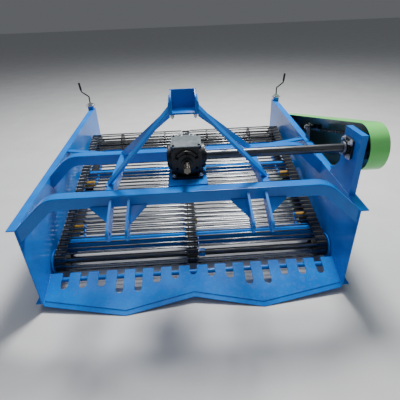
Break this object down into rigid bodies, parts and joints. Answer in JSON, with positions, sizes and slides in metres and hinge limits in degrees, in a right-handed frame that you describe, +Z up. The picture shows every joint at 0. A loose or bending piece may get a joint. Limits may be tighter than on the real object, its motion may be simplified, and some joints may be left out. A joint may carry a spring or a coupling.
{
  "type": "root crop harvester",
  "caption": "Tractor-mounted root crop digger: slotted share, rod web between side plates, gearbox and chain drive, three-point hitch and depth wheels.",
  "frame": {"origin": "on the ground, on the centre line between the side plates, midway along the whole machine", "axes": "+X to the right as seen from the tractor, +Y to the rear, +Z up"},
  "size_m": [2.18, 2.3362, 1.221],
  "materials": {
    "blue_paint": "gloss enamel",
    "green_paint": "gloss enamel",
    "black_iron": "black painted castings",
    "chain_steel": "oiled roller chain",
    "bright_steel": "worn bright by soil",
    "zinc_plate": "bright zinc plate",
    "belt_rubber": "matt, woven core",
    "yellow_nylon": "cast nylon"
  },
  "bodies": {
    "frame": {"side_left": "blue_paint", "side_right": "blue_paint", "front_beam": "blue_paint", "rear_beam": "blue_paint", "beam_braces": "blue_paint", "rails": "blue_paint", "share": "blue_paint", "share_bar": "blue_paint", "main_cross_tube": "blue_paint", "rear_cross_tube": "blue_paint", "tail_tube": "blue_paint", "top_link_bracket": "blue_paint", "mast_legs": "blue_paint", "mast_stays": "blue_paint", "hitch_plates_left": "blue_paint", "hitch_plates_right": "blue_paint", "gearbox_cradle": "blue_paint", "gearbox": "black_iron", "gearbox_cover": "zinc_plate", "input_shaft": "bright_steel", "cross_shaft": "black_iron", "bearing_stand": "blue_paint", "stand_bearing": "black_iron", "upper_sprocket": "black_iron", "lower_sprocket": "black_iron", "drive_chain": "chain_steel", "chain_tensioner": "black_iron", "chain_guard": "green_paint", "guard_brackets": "blue_paint", "idler_roller": "black_iron", "idler_discs": "blue_paint", "drive_roller": "black_iron", "roller_bearings": "black_iron", "web_belts": "belt_rubber", "web_rods": "bright_steel", "support_rollers": "yellow_nylon", "roller_arms": "blue_paint", "centre_arm": "blue_paint", "leg_sleeves": "blue_paint", "depth_cranks": "zinc_plate"},
    "leg_left": {"leg_left": "blue_paint"},
    "leg_right": {"leg_right": "blue_paint"},
    "wheel_left": {"wheel_left": "blue_paint"},
    "wheel_right": {"wheel_right": "blue_paint"}
  },
  "joints": [
    {"name": "depth_left", "type": "slide", "parent": "frame", "child": "leg_left", "axis": [0, 0, 1], "range_m": [-0.12, 0.1]},
    {"name": "depth_right", "type": "slide", "parent": "frame", "child": "leg_right", "axis": [0, 0, 1], "range_m": [-0.12, 0.1]},
    {"name": "wheel_left_spin", "type": "hinge", "parent": "leg_left", "child": "wheel_left", "pos_m": [-1.025, 0.99307, 0.175], "axis": [1, 0, 0], "continuous": true},
    {"name": "wheel_right_spin", "type": "hinge", "parent": "leg_right", "child": "wheel_right", "pos_m": [1.025, 0.99307, 0.175], "axis": [1, 0, 0], "continuous": true}
  ]
}
